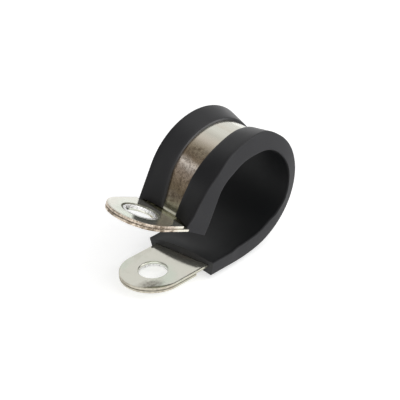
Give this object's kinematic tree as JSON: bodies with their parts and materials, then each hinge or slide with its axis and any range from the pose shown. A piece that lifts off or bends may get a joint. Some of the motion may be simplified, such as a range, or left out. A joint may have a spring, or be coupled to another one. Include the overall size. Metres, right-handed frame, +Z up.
{
  "type": "rubber-lined p clip",
  "caption": "Rubber-lined P clip: a steel strip rolled into an open loop that holds a pipe, with two bolt tabs backed by clinched reinforcing plates.",
  "frame": {"origin": "on the axis of the round part of the loop, midway across the strip", "axes": "+Y along the pipe, +Z up with the lower tab flat and level, the tabs towards -X"},
  "size_m": [0.0469, 0.0182, 0.031],
  "materials": {
    "zinc_strip": "bright zinc plate, warm reflections",
    "zinc_plate": "bright zinc plate, smooth faces and dull sheared edges",
    "black_rubber": "satin black synthetic rubber"
  },
  "bodies": {
    "root": {"band": "zinc_strip", "upper_plate": "zinc_plate", "lower_plate": "zinc_plate", "liner": "black_rubber"}
  },
  "joints": []
}
